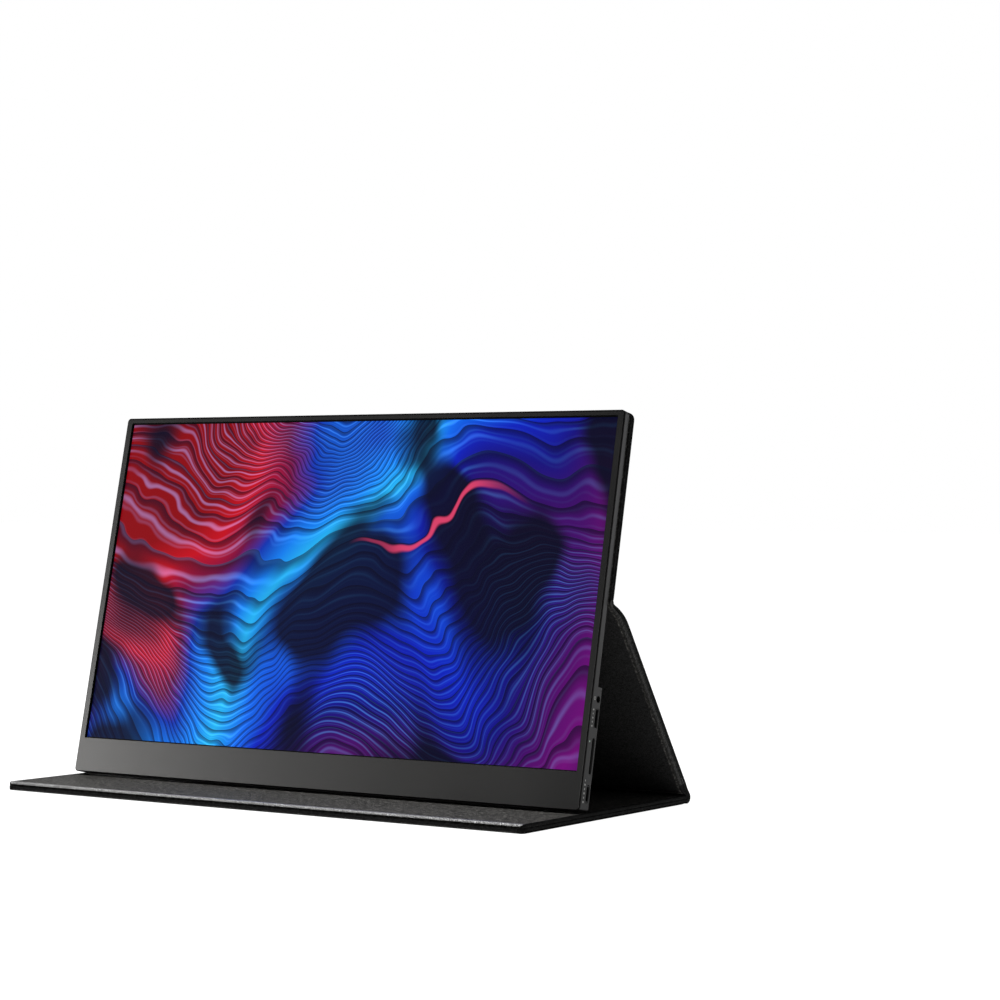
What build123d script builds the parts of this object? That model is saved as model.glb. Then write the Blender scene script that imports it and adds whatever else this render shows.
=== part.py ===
from build123d import *
import math
import os

# Portable 15.6-inch monitor standing on its folded folio cover.
# Millimetres. +X right, +Y away from the viewer, +Z up.
# Origin: middle of the footprint, on the surface that the cover lies on.

# ---------------------------------------------------------------- driving sizes
AA_W, AA_H = 344.16, 193.59        # 16:9 picture, 15.6-inch diagonal
BEZEL_SIDE = 5.1                   # picture to outer edge, left and right
BEZEL_TOP = 4.2
CHIN = 21.6
MON_W = AA_W + 2 * BEZEL_SIDE      # 354.4 monitor width
MON_H = AA_H + BEZEL_TOP + CHIN    # 219.4 monitor height
MON_R = 2.2                        # corner radius of the monitor outline
THIN = 5.9                         # thickness above the electronics block
BLOCK = 10.4                       # thickness of the electronics block
BLOCK_H = 67.2                     # height of the electronics block
WALL = 1.1                         # housing walls
BACK = 1.3                         # back wall of the electronics block
BEZEL_T = 1.1                      # front bezel plate
GAP = 0.15                         # dark joint between bezel and housing

TILT = 12.1                        # monitor leans back, degrees
COVER_W = 356.5                    # folio width
PANEL_T = 4.4                      # attached (upper) panel thickness
STRUT_T = 6.9                      # strut panel thickness
BASE_T = 5.0                       # base panel thickness
BASE_FRONT = -90.15                # front edge of the base
FOOT_Y, FOOT_Z = -33.45, 6.90      # front lower edge of the monitor
REAR_Y, REAR_Z = 86.75, 3.40       # rear fold axis
REAR_R = 3.4                       # outer radius of the rear fold
CREASE_V = 113.2                   # crease height, along the monitor
CREASE_D = 8.2                     # crease axis depth behind the front face
OUT = 8.5                          # strut outer face, out from the crease axis
BEAD_R = 1.9                       # cord inside each fold
SKIN = 0.9                         # outer leatherette
LINING = 0.9                       # inner lining
RIM = 1.2                          # turned-over edge of the leatherette

JACK_V, VIDEO_V, KEY_V, USB_V = 60.6, 50.3, 29.95, 9.65
VIDEO_D = 7.3                      # depth of the video socket's centre
PORT_D = 7.08                      # depth of the port centres
KEY_L, KEY_SLOT_L = 19.1, 19.7
LED_V, LED_D = 37.5, 3.1

os.makedirs("parts", exist_ok=True)

T = math.radians(TILT)
HW = MON_W / 2
CW = COVER_W / 2


def mon(shape):
    """Monitor frame (x, depth, height along the screen) into the part frame."""
    return Pos(0, FOOT_Y, FOOT_Z) * Rot(-TILT, 0, 0) * shape


def bx(x0, x1, y0, y1, z0, z1):
    return Pos((x0 + x1) / 2, (y0 + y1) / 2, (z0 + z1) / 2) * Box(x1 - x0, y1 - y0, z1 - z0)


def save(shape, name):
    if isinstance(shape, (list, tuple, ShapeList)):
        shape = Compound(children=list(shape))
    export_step(shape, "parts/%s.step" % name)


def prism(face, x0, x1):
    return Pos(x0, 0, 0) * extrude(face, amount=x1 - x0, dir=(1, 0, 0))


def plate(x0, x1, y0, y1, z0, z1, r, which="all"):
    """Box with rounded corners in the X-Z outline (faces look along Y)."""
    b = bx(x0, x1, y0, y1, z0, z1)
    es = b.edges().filter_by(Axis.Y)
    if which == "top":
        es = [e for e in es if e.center().Z > (z0 + z1) / 2]
    elif which == "bottom":
        es = [e for e in es if e.center().Z < (z0 + z1) / 2]
    return fillet(es, r)


def flat(x0, x1, y0, y1, z0, z1, r, which="all"):
    """Box with rounded corners in the X-Y outline (lies flat)."""
    b = bx(x0, x1, y0, y1, z0, z1)
    es = b.edges().filter_by(Axis.Z)
    if which == "front":
        es = [e for e in es if e.center().Y < (y0 + y1) / 2]
    return fillet(es, r)


# ------------------------------------------------------------------ monitor
# Front bezel: one thin plate with the picture window.
WIN = 0.9
bezel = plate(-HW, HW, 0, BEZEL_T, 0, MON_H, MON_R)
bezel -= plate(-AA_W / 2 - WIN, AA_W / 2 + WIN, -1, 3, CHIN - WIN, CHIN + AA_H + WIN, 0.6)
front_edges = bezel.edges().group_by(Axis.Y)[0]
bezel = chamfer(front_edges, 0.3)
save(mon(bezel), "front_bezel")

# Foam gasket between bezel and panel.
gasket = plate(-HW + 1.6, HW - 1.6, BEZEL_T, 1.4, 14.0, MON_H - 1.6, 2.0)
gasket -= plate(-AA_W / 2 - 1.2, AA_W / 2 + 1.2, 0, 3, CHIN - 1.2, CHIN + AA_H + 1.2, 0.6)
save(mon(gasket), "foam_gasket")

# Display panel, layer by layer from the front.
PX = HW - 1.9                      # half width of the panel module
PV0, PV1 = 14.4, MON_H - 1.9
save(mon(bx(-PX, PX, 1.4, 2.2, PV0, PV1)), "lcd_cell")
save(mon(bx(-PX + 1.2, PX - 1.2, 2.2, 2.4, PV0 + 3.2, PV1 - 1.2)), "prism_sheet")
save(mon(bx(-PX + 1.2, PX - 1.2, 2.4, 2.6, PV0 + 3.2, PV1 - 1.2)), "diffuser_sheet")
save(mon(bx(-PX + 1.2, PX - 1.2, 2.6, 3.3, PV0 + 3.2, PV1 - 1.2)), "light_guide")
save(mon(bx(-PX + 1.2, PX - 1.2, 3.3, 3.45, PV0 + 3.2, PV1 - 1.2)), "reflector_sheet")
# Light strip along the lower edge of the light guide, with its lamps.
strip = bx(-PX + 4, PX - 4, 2.5, 3.3, PV0 + 1.0, PV0 + 1.8)
for k in range(24):
    xk = -PX + 12 + k * (2 * PX - 24) / 23
    strip += bx(xk - 1.9, xk + 1.9, 2.6, 3.2, PV0 + 1.8, PV0 + 3.1)
save(mon(strip), "led_strip")
back = bx(-PX, PX, 2.2, 3.75, PV0, PV1) - bx(-PX + 0.9, PX - 0.9, 2.0, 3.45, PV0 + 0.8, PV1 - 0.9)
save(mon(back), "panel_back_plate")

# Timing board of the panel, below the picture.
tcon = bx(-150, 60, 1.6, 2.4, 4.6, 12.6)
for x0, x1 in ((-96, -84), (-60, -52), (-18, -8), (20, 34)):
    tcon += bx(x0, x1, 2.4, 3.2, 6.0, 11.0)
save(mon(tcon), "timing_board")
# Flat ribbon from the timing board up to the main board.
ribbon = bx(62.2, 88, 1.9, 2.1, 6.0, 11.0) + bx(86, 88, 1.9, 7.9, 6.0, 11.0)
save(mon(ribbon), "panel_ribbon")

# Rear tray: thin metal tray behind the panel, above the electronics block.
TY0 = BEZEL_T + GAP
tray = plate(-HW, HW, TY0, THIN, BLOCK_H, MON_H, MON_R, "top")
tray = fillet([e for e in tray.edges() if e.center().Y > THIN - 0.01 and e.center().Z > BLOCK_H + 0.5], 0.9)
tray -= bx(-HW + WALL, HW - WALL, 0, THIN - 0.8, BLOCK_H - 1, MON_H - WALL)
save(mon(tray), "rear_tray")

# Port housing: the thicker block with all the electronics.
house = plate(-HW, HW, TY0, BLOCK, 0, BLOCK_H, MON_R, "bottom")
house = fillet([e for e in house.edges() if e.center().Y > BLOCK - 0.01], 1.1)
house -= bx(-HW + WALL, HW - WALL, 0, BLOCK - BACK, WALL, BLOCK_H - WALL)
house -= bx(-HW + WALL, HW - WALL, 0, THIN - 0.8, WALL, BLOCK_H + 1)


def along_x(r, x0, x1, y, z):
    return Pos((x0 + x1) / 2, y, z) * Rot(0, 90, 0) * Cylinder(r, x1 - x0)


def along_y(r, y0, y1, x, z):
    return Pos(x, (y0 + y1) / 2, z) * Rot(90, 0, 0) * Cylinder(r, y1 - y0)


def slot_x(length, height, x0, x1, y, z):
    """Oblong bar along X: long in the screen height, short in depth."""
    r = height / 2
    b = bx(x0, x1, y - r, y + r, z - length / 2 + r, z + length / 2 - r)
    return b + along_x(r, x0, x1, y, z - length / 2 + r) + along_x(r, x0, x1, y, z + length / 2 - r)


XW0, XW1 = HW - WALL, HW
house -= along_x(1.95, XW0 - 1, XW1 + 1, PORT_D, JACK_V)
house -= slot_x(9.9, 3.3, XW0 - 1, XW1 + 1, PORT_D, USB_V)
cut = bx(XW0 - 1, XW1 + 1, VIDEO_D - 1.75, VIDEO_D + 1.75, VIDEO_V - 5.25, VIDEO_V + 5.25)
house -= fillet(cut.edges().filter_by(Axis.X), 0.6)
house -= slot_x(KEY_SLOT_L, 2.7, XW0 - 1, XW1 + 1, PORT_D, KEY_V)
house -= along_x(0.55, XW0 - 1, XW1 + 1, LED_D, LED_V)
# Seat for the rubber foot strip along the lower rear edge.
house -= bx(-150, 150, 5.4, 8.8, -1, 0.4)
# Ears that carry the key pin.
PIVX = 174.9
for y0, y1 in ((5.32, 6.02), (8.14, 8.9)):
    ear = bx(PIVX - 1.4, XW0 + 0.1, y0, y1, KEY_V - 1.5, KEY_V + 1.5)
    ear -= along_y(0.6, y0 - 1, y1 + 1, PIVX, KEY_V)
    house += ear
# Countersunk screw holes in the back.
SCREWS = [(-168, 60), (-84, 60), (0, 60), (78, 60), (168, 32), (-168, 8), (-60, 8), (60, 8)]
for sx, sv in SCREWS:
    house -= along_y(1.05, BLOCK - 2, BLOCK + 1, sx, sv)
    house -= Pos(sx, BLOCK - 0.35, sv) * Rot(-90, 0, 0) * Cone(1.05, 1.95, 0.7)
save(mon(house), "port_housing")

screws = []
for sx, sv in SCREWS:
    y1 = BLOCK - 0.02
    s = along_y(0.98, BLOCK - 3.2, BLOCK - 0.6, sx, sv)
    s += Pos(sx, BLOCK - 0.37, sv) * Rot(-90, 0, 0) * Cone(0.98, 1.85, 0.7)
    s -= bx(sx - 0.9, sx + 0.9, BLOCK - 0.35, BLOCK + 1, sv - 0.16, sv + 0.16)
    s -= bx(sx - 0.16, sx + 0.16, BLOCK - 0.35, BLOCK + 1, sv - 0.9, sv + 0.9)
    screws.append(mon(s))
save(screws, "housing_screws")

# Rubber strip under the block.
foot = bx(-149.8, 149.8, 5.5, 8.7, -0.3, 0.4)
foot = fillet([e for e in foot.edges().filter_by(Axis.X) if e.center().Z < 0], 0.25)
save(mon(foot), "foot_strip")

# Steel plates behind the panel that the cover magnets hold.
plates = []
for xk in (-128, -64, 0, 64, 128):
    plates.append(mon(bx(xk - 21, xk + 21, 4.5, 5.08, 150, 196)))
save(plates, "magnet_plates")

# Main board, with a notch for the earphone and video sockets.
BD0, BD1 = 8.5, 9.05
board = bx(84, 175.4, BD0, BD1, 3.0, 64.0)
board -= bx(162.6, 176, BD0 - 1, BD1 + 1, VIDEO_V - 6.0, JACK_V + 3.4)
board -= bx(PIVX - 1.9, 176, BD0 - 1, BD1 + 1, KEY_V - 2.0, KEY_V + 2.0)
for sx, sv in ((92, 7), (92, 56), (158, 7)):
    board -= along_y(1.1, BD0 - 1, BD1 + 1, sx, sv)
for sx, sv in SCREWS:
    board -= along_y(1.6, BD0 - 1, BD1 + 1, sx, sv)
save(mon(board), "main_board")
bscrews = []
for sx, sv in ((92, 7), (92, 56), (158, 7)):
    s = along_y(0.95, 8.2, 9.08, sx, sv) + along_y(1.7, 7.8, BD0, sx, sv)
    s -= bx(sx - 1.0, sx + 1.0, 7.3, 8.1, sv - 0.18, sv + 0.18)
    s -= bx(sx - 0.18, sx + 0.18, 7.3, 8.1, sv - 1.0, sv + 1.0)
    bscrews.append(mon(s))
save(bscrews, "board_screws")
shield = bx(100, 134, 6.2, BD0, 18, 50) - bx(100.3, 133.7, 6.5, BD0 + 1, 18.3, 49.7)
save(mon(shield), "board_shield")
save(mon(bx(108, 124, 7.2, BD0, 26, 42)), "scaler_chip")
chips = [mon(bx(140, 148, 7.3, BD0, 20, 28)), mon(bx(140, 146, 6.9, BD0, 34, 40)),
         mon(bx(150, 157, 6.3, BD0, 44, 51)), mon(bx(150, 156, 7.4, BD0, 12, 16))]
save(chips, "board_chips")

# Earphone socket: square body with a round bore open to the side.
jack = bx(164.4, XW0, 5.12, 9.05, JACK_V - 2.9, JACK_V + 2.9)
jack += along_x(1.9, XW0, XW1 - 0.15, PORT_D, JACK_V)
jack -= along_x(1.77, 165.2, XW1 + 1, PORT_D, JACK_V)
save(mon(jack), "audio_jack")


# USB-C socket: oblong shell.
shell = slot_x(8.94, 2.8, 169.8, XW1 - 0.1, PORT_D, USB_V)
shell -= slot_x(8.34, 2.4, 170.4, XW1 + 1, PORT_D, USB_V)
save(mon(shell), "usb_c_socket")


# Small video socket: shell with two corners cut off.
def video(w, h, cut, x0, x1):
    pts = [(-h / 2, -w / 2 + cut), (-h / 2, w / 2 - cut), (-h / 2 + cut, w / 2), (h / 2, w / 2),
           (h / 2, -w / 2), (-h / 2 + cut, -w / 2)]
    return prism(make_face(Polyline(*[Vector(0, VIDEO_D + d, VIDEO_V + v) for d, v in pts], close=True)), x0, x1)


shell = video(10.2, 3.1, 1.1, 166.0, XW1 - 0.15) - video(9.7, 2.6, 0.95, 166.6, XW1 + 1)
save(mon(shell), "video_socket")
tongues = [mon(bx(170.4, 176.2, PORT_D - 0.35, PORT_D + 0.35, USB_V - 3.35, USB_V + 3.35)),
           mon(bx(166.6, 175.4, VIDEO_D - 0.35, VIDEO_D + 0.35, VIDEO_V - 3.9, VIDEO_V + 3.9))]
save(tongues, "socket_tongues")

# Rocker key on its pin, and the two switches behind it.
pin = along_y(0.6, 5.32, 8.9, PIVX, KEY_V)
save(mon(pin), "key_pin")
KD = 1.85                          # key height across the slot
key = bx(175.75, 177.35, PORT_D - KD / 2, PORT_D + KD / 2, KEY_V - KEY_L / 2, KEY_V + KEY_L / 2)
key = fillet(key.edges().filter_by(Axis.X), 0.8)
key = fillet(key.edges().group_by(Axis.X)[-1], 0.25)
hub = along_y(1.2, PORT_D - 0.9, PORT_D + 0.9, PIVX, KEY_V)
key += hub + bx(PIVX + 0.2, 175.9, PORT_D - 0.9, PORT_D + 0.9, KEY_V - 1.15, KEY_V + 1.15)
key -= along_y(0.65, 0, 11, PIVX, KEY_V)
save(mon(key), "rocker_key")
sw = []
for v in (KEY_V - 7.6, KEY_V + 7.6):
    sw.append(mon(bx(171.4, 174.3, 6.2, BD0, v - 1.5, v + 1.5) + along_x(0.6, 174.3, 175.2, PORT_D, v)))
save(sw, "key_switches")
led = along_x(0.5, 176.0, HW + 0.02, LED_D, LED_V)
save(mon(led), "status_light")

# Two flat speakers.
for name, x0, x1 in (("speaker_left", -160, -124), ("speaker_right", 26, 62)):
    spk = bx(x0, x1, 5.9, 9.0, 14, 34)
    spk -= along_y(8.2, 0, 6.3, (x0 + x1) / 2, 24)
    spk += along_y(5.0, 6.05, 6.4, (x0 + x1) / 2, 24)
    spk += along_y(0.9, 6.0, 9.0, x0 + 3, 31) + along_y(0.9, 6.0, 9.0, x1 - 3, 31)
    save(mon(spk), name)

# ------------------------------------------------------------------ attached panel
AP0 = CREASE_V + BEAD_R + 0.45     # lower end, clear of the fold bead
AP1 = MON_H + 0.5
PD0, PD1 = THIN, THIN + PANEL_T
skin = plate(-CW, CW, PD0 + LINING, PD1, AP0, AP1, 4.5, "top")
skin -= plate(-CW + RIM, CW - RIM, PD0, PD1 - SKIN, AP0 + RIM, AP1 - RIM, 3.3, "top")
save(mon(skin), "upper_skin")
save(mon(plate(-CW + 0.7, CW - 0.7, PD0, PD0 + LINING, AP0, AP1 - 0.7, 3.8, "top")), "upper_lining")
uboard = plate(-CW + RIM, CW - RIM, PD0 + LINING, PD1 - SKIN, AP0 + RIM, AP1 - RIM, 3.3, "top")
umag = []
for xk in (-128, -64, 0, 64, 128):
    uboard -= bx(xk - 15.1, xk + 15.1, 0, PD0 + LINING + 1.5, 167.9, 178.1)
    umag.append(mon(bx(xk - 15, xk + 15, PD0 + LINING, PD0 + LINING + 1.5, 168, 178)))
save(mon(uboard), "upper_board")
save(umag, "upper_magnets")

# ------------------------------------------------------------------ strut
CY = FOOT_Y + CREASE_V * math.sin(T) + CREASE_D * math.cos(T)
CZ = FOOT_Z + CREASE_V * math.cos(T) - CREASE_D * math.sin(T)
dy, dz = REAR_Y - CY, REAR_Z - CZ
dist = math.hypot(dy, dz)
down = math.atan2(-dz, dy) + math.asin((OUT - REAR_R) / dist)   # slope of the strut
ES = (math.cos(down), -math.sin(down))
EN = (math.sin(down), math.cos(down))
S_END = math.sqrt(dist ** 2 - (OUT - REAR_R) ** 2)


def sn(s, n):
    return (CY + s * ES[0] + n * EN[0], CZ + s * ES[1] + n * EN[1])


def poly(points):
    pts = [Vector(0, *sn(s, n)) for s, n in points]
    return make_face(Polyline(*pts, close=True))


IN = OUT - STRUT_T                 # inner face
S0 = 18.0                          # the stiff panel starts here
S1 = S_END - 5.2                   # and ends here, above the rear fold
strut_skin = prism(poly([(S0, OUT - SKIN), (S_END, OUT - SKIN), (S_END, OUT), (S0, OUT)]), -CW, CW)
for sgn in (-1, 1):
    xa, xb = sorted((sgn * CW, sgn * (CW - RIM)))
    strut_skin += prism(poly([(S0, IN + LINING), (S1, IN + LINING), (S1, OUT), (S0, OUT)]), xa, xb)
# The leatherette turns round the rear fold.
ring = along_x(REAR_R, -CW, CW, REAR_Y, REAR_Z) - along_x(REAR_R - SKIN, -CW - 1, CW + 1, REAR_Y, REAR_Z)
a0 = math.degrees(math.atan2(EN[1], EN[0]))
sector = [Vector(0, REAR_Y, REAR_Z)]
for k in range(9):
    a = math.radians(a0 - k * (a0 + 92) / 8)
    sector.append(Vector(0, REAR_Y + 8 * math.cos(a), REAR_Z + 8 * math.sin(a)))
ring = ring & prism(make_face(Polyline(*sector, close=True)), -CW - 1, CW + 1)
strut_skin += ring
save(strut_skin, "strut_skin")
save(along_x(REAR_R - SKIN - 0.02, -CW + 0.6, CW - 0.6, REAR_Y, REAR_Z), "rear_fold_bead")
save(prism(poly([(S0, IN), (S1, IN), (S1, IN + LINING), (S0, IN + LINING)]), -CW + 0.7, CW - 0.7), "strut_lining")
sboard = prism(poly([(S0, IN + LINING), (S1, IN + LINING), (S1, OUT - SKIN), (S0, OUT - SKIN)]), -CW + RIM, CW - RIM)
smag = []
for xk in (-120, 0, 120):
    cut = prism(poly([(84.9, IN), (93.1, IN), (93.1, IN + LINING + 1.5), (84.9, IN + LINING + 1.5)]), xk - 12.1, xk + 12.1)
    sboard -= cut
    smag.append(prism(poly([(85, IN + LINING), (93, IN + LINING), (93, IN + LINING + 1.5), (85, IN + LINING + 1.5)]), xk - 12, xk + 12))
save(sboard, "strut_board")
save(smag, "strut_magnets")

# Soft bend between the crease and the stiff panel.
outer = [(1.2, 2.05), (7.0, 4.85), (12.6, 7.2), (S0, OUT)]
inner = [(S0, IN), (12.0, 1.0), (6.0, -0.35), (2.0, -1.1)]
po = [Vector(0, *sn(s, n)) for s, n in outer]
pi = [Vector(0, *sn(s, n)) for s, n in inner]
bend_face = make_face(Curve() + [Spline(*po), Line(po[-1], pi[0]), Spline(*pi), Line(pi[-1], po[0])])
bend = prism(bend_face, -CW, CW)
bend -= along_x(BEAD_R + 0.02, -CW - 1, CW + 1, CY, CZ)
save(bend, "soft_bend")
save(along_x(BEAD_R, -CW, CW, CY, CZ), "crease_bead")

# ------------------------------------------------------------------ base panel
BR0 = REAR_Y - REAR_R - 0.35       # rear end, clear of the fold
bskin = flat(-CW, CW, BASE_FRONT, BR0, 0, BASE_T - LINING, 3.0, "front")
bskin -= flat(-CW + RIM, CW - RIM, BASE_FRONT + RIM, BR0 - RIM, SKIN, BASE_T, 1.8, "front")
bskin = fillet([e for e in bskin.edges() if e.center().Z < 0.01 and e.center().Y < BR0 - 1], 0.5)
save(bskin, "base_skin")
blining = flat(-CW + 0.7, CW - 0.7, BASE_FRONT + 0.7, BR0, BASE_T - LINING, BASE_T, 2.4, "front")
blining -= bx(-HW - 0.6, HW + 0.6, FOOT_Y - 1.2, FOOT_Y + 11.6, BASE_T - 0.5, BASE_T + 1)
save(blining, "base_lining")
bboard = flat(-CW + RIM, CW - RIM, BASE_FRONT + RIM, BR0 - RIM, SKIN, BASE_T - LINING, 1.8, "front")
bmag = []
for xk, yk in ((-150, -80), (-50, -80), (50, -80), (150, -80)):
    bboard -= bx(xk - 10.1, xk + 10.1, yk - 3.1, yk + 3.1, BASE_T - LINING - 1.5, BASE_T)
    bmag.append(bx(xk - 10, xk + 10, yk - 3, yk + 3, BASE_T - LINING - 1.5, BASE_T - LINING))
save(bboard, "base_board")
save(bmag, "base_magnets")

# ------------------------------------------------------------------ axis report
piv = Vector(PIVX, FOOT_Y + KEY_V * math.sin(T) + PORT_D * math.cos(T),
             FOOT_Z + KEY_V * math.cos(T) - PORT_D * math.sin(T))
print("rear fold axis (m)", 0, round(REAR_Y / 1000, 6), round(REAR_Z / 1000, 6))
print("crease axis (m)", 0, round(CY / 1000, 6), round(CZ / 1000, 6))
print("key axis (m)", [round(c / 1000, 6) for c in piv], "dir", (0, round(math.cos(T), 6), round(-math.sin(T), 6)))
print("strut slope", round(math.degrees(down), 3), "open angle", round(180 - math.degrees(down), 3),
      "fold angle", round(180 - (90 - TILT) - math.degrees(down), 3), "S_END", round(S_END, 2))
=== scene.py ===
import bpy
import bmesh
import math
from mathutils import Matrix, Vector


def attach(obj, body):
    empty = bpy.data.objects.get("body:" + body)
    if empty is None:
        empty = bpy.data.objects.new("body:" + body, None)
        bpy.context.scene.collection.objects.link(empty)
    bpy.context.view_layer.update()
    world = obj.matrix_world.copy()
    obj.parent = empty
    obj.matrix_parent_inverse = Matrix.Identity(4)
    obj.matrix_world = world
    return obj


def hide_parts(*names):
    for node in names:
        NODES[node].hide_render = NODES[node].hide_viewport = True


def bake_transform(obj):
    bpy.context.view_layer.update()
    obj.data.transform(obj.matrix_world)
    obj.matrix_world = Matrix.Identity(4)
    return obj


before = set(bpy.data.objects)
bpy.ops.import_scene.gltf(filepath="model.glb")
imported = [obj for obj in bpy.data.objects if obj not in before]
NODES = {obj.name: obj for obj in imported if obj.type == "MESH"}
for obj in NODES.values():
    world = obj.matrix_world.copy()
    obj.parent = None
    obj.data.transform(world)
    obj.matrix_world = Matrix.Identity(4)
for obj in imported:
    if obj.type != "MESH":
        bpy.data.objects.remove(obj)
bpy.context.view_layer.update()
SC = bpy.context.scene
MM = 0.001

# ------------------------------------------------------------- shared numbers
TILT = math.radians(12.1)
ST, CT = math.sin(TILT), math.cos(TILT)
FOOT_Y, FOOT_Z = -33.45, 6.90
MON_W, MON_H = 354.36, 219.39
HW, CW = MON_W / 2, 356.5 / 2
AA_W, AA_H, CHIN = 344.16, 193.59, 21.6
THIN, BLOCK, BLOCK_H = 5.9, 10.4, 67.2
PORT_D = 7.08
JACK_V, VIDEO_V, KEY_V, USB_V = 60.6, 50.3, 29.95, 9.65
VIDEO_D = 7.3
LED_V, LED_D = 37.5, 3.1
REAR_Y, REAR_Z, REAR_R = 86.75, 3.40, 3.4
CREASE_V, CREASE_D, OUT, STRUT_T = 113.2, 8.2, 8.5, 6.9
BASE_FRONT, BASE_T = -90.15, 5.0


def mon(x, d, v):
    """Monitor frame (x, depth, height along the screen), mm, to the row frame, mm."""
    return (x, FOOT_Y + v * ST + d * CT, FOOT_Z + v * CT - d * ST)


CY = mon(0, CREASE_D, CREASE_V)[1]
CZ = mon(0, CREASE_D, CREASE_V)[2]
_dy, _dz = REAR_Y - CY, REAR_Z - CZ
_dist = math.hypot(_dy, _dz)
DOWN = math.atan2(-_dz, _dy) + math.asin((OUT - REAR_R) / _dist)
ES = (math.cos(DOWN), -math.sin(DOWN))
EN = (math.sin(DOWN), math.cos(DOWN))
S_END = math.sqrt(_dist ** 2 - (OUT - REAR_R) ** 2)


def sn(s, n):
    return (CY + s * ES[0] + n * EN[0], CZ + s * ES[1] + n * EN[1])


# ------------------------------------------------------------- node helpers
class Mat:
    def __init__(self, name):
        self.m = bpy.data.materials.new(name)
        self.m.use_nodes = True
        self.t = self.m.node_tree
        self.t.nodes.clear()
        self.out = self.t.nodes.new("ShaderNodeOutputMaterial")
        self.b = self.t.nodes.new("ShaderNodeBsdfPrincipled")
        self.t.links.new(self.b.outputs[0], self.out.inputs[0])

    def node(self, kind, **kw):
        n = self.t.nodes.new(kind)
        for k, v in kw.items():
            setattr(n, k, v)
        return n

    def link(self, a, b):
        self.t.links.new(a, b)

    def put(self, socket, value):
        if isinstance(value, (int, float, tuple, list)):
            socket.default_value = value
        else:
            self.link(value, socket)

    def set(self, **kw):
        names = {"color": "Base Color", "rough": "Roughness", "metal": "Metallic", "spec": "Specular IOR Level",
                 "ior": "IOR", "coat": "Coat Weight", "coat_rough": "Coat Roughness", "sheen": "Sheen Weight",
                 "sheen_rough": "Sheen Roughness", "emit": "Emission Color", "emit_s": "Emission Strength",
                 "alpha": "Alpha", "trans": "Transmission Weight", "normal": "Normal"}
        for k, v in kw.items():
            s = self.b.inputs[names[k]]
            if isinstance(v, tuple) and len(v) == 3:
                v = (*v, 1.0)
            self.put(s, v)
        return self

    def coords(self, kind="Object"):
        return self.node("ShaderNodeTexCoord").outputs[kind]

    def uv(self):
        return self.node("ShaderNodeTexCoord").outputs["UV"]

    def mapping(self, vec, scale=(1, 1, 1), loc=(0, 0, 0), rot=(0, 0, 0)):
        n = self.node("ShaderNodeMapping")
        self.link(vec, n.inputs["Vector"])
        n.inputs["Scale"].default_value = scale
        n.inputs["Location"].default_value = loc
        n.inputs["Rotation"].default_value = rot
        return n.outputs[0]

    def noise(self, vec, scale, detail=3.0, rough=0.5, dist=0.0, out="Fac"):
        n = self.node("ShaderNodeTexNoise")
        self.link(vec, n.inputs["Vector"])
        n.inputs["Scale"].default_value = scale
        n.inputs["Detail"].default_value = detail
        n.inputs["Roughness"].default_value = rough
        n.inputs["Distortion"].default_value = dist
        return n.outputs[out]

    def voronoi(self, vec, scale, feature="F1", rand=1.0, out="Distance", smooth=None):
        n = self.node("ShaderNodeTexVoronoi", feature=feature)
        self.link(vec, n.inputs["Vector"])
        n.inputs["Scale"].default_value = scale
        n.inputs["Randomness"].default_value = rand
        if smooth is not None and "Smoothness" in n.inputs:
            n.inputs["Smoothness"].default_value = smooth
        return n.outputs[out]

    def math(self, op, a, b=None, c=None, clamp=False):
        n = self.node("ShaderNodeMath", operation=op, use_clamp=clamp)
        self.put(n.inputs[0], a)
        if b is not None:
            self.put(n.inputs[1], b)
        if c is not None:
            self.put(n.inputs[2], c)
        return n.outputs[0]

    def vmath(self, op, a, b=None):
        n = self.node("ShaderNodeVectorMath", operation=op)
        self.put(n.inputs[0], a)
        if b is not None:
            self.put(n.inputs[1], b)
        return n.outputs["Value" if op in ("DOT_PRODUCT", "LENGTH", "DISTANCE") else "Vector"]

    def vscale(self, a, s):
        n = self.node("ShaderNodeVectorMath", operation="SCALE")
        self.put(n.inputs[0], a)
        self.put(n.inputs["Scale"], s)
        return n.outputs["Vector"]

    def sep(self, vec):
        n = self.node("ShaderNodeSeparateXYZ")
        self.link(vec, n.inputs[0])
        return n.outputs

    def comb(self, x, y, z):
        n = self.node("ShaderNodeCombineXYZ")
        for i, v in enumerate((x, y, z)):
            self.put(n.inputs[i], v)
        return n.outputs[0]

    def ramp(self, fac, stops, interp="LINEAR"):
        n = self.node("ShaderNodeValToRGB")
        self.put(n.inputs[0], fac)
        cr = n.color_ramp
        cr.interpolation = interp
        while len(cr.elements) < len(stops):
            cr.elements.new(0.5)
        for e, (p, c) in zip(cr.elements, stops):
            e.position = p
            if isinstance(c, (int, float)):
                c = (c, c, c)
            e.color = (*c[:3], 1.0)
        return n.outputs["Color"]

    def range(self, v, a, b, c, d, smooth=False):
        n = self.node("ShaderNodeMapRange")
        if smooth:
            n.interpolation_type = "SMOOTHSTEP"
        self.put(n.inputs["Value"], v)
        n.inputs["From Min"].default_value = a
        n.inputs["From Max"].default_value = b
        n.inputs["To Min"].default_value = c
        n.inputs["To Max"].default_value = d
        return n.outputs["Result"]

    def mix(self, fac, a, b, mode="MIX"):
        n = self.node("ShaderNodeMix", data_type="RGBA", blend_type=mode)
        self.put(n.inputs["Factor"], fac)
        for s, v in ((n.inputs[6], a), (n.inputs[7], b)):
            if isinstance(v, tuple) and len(v) == 3:
                v = (*v, 1.0)
            self.put(s, v)
        return n.outputs[2]

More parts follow.
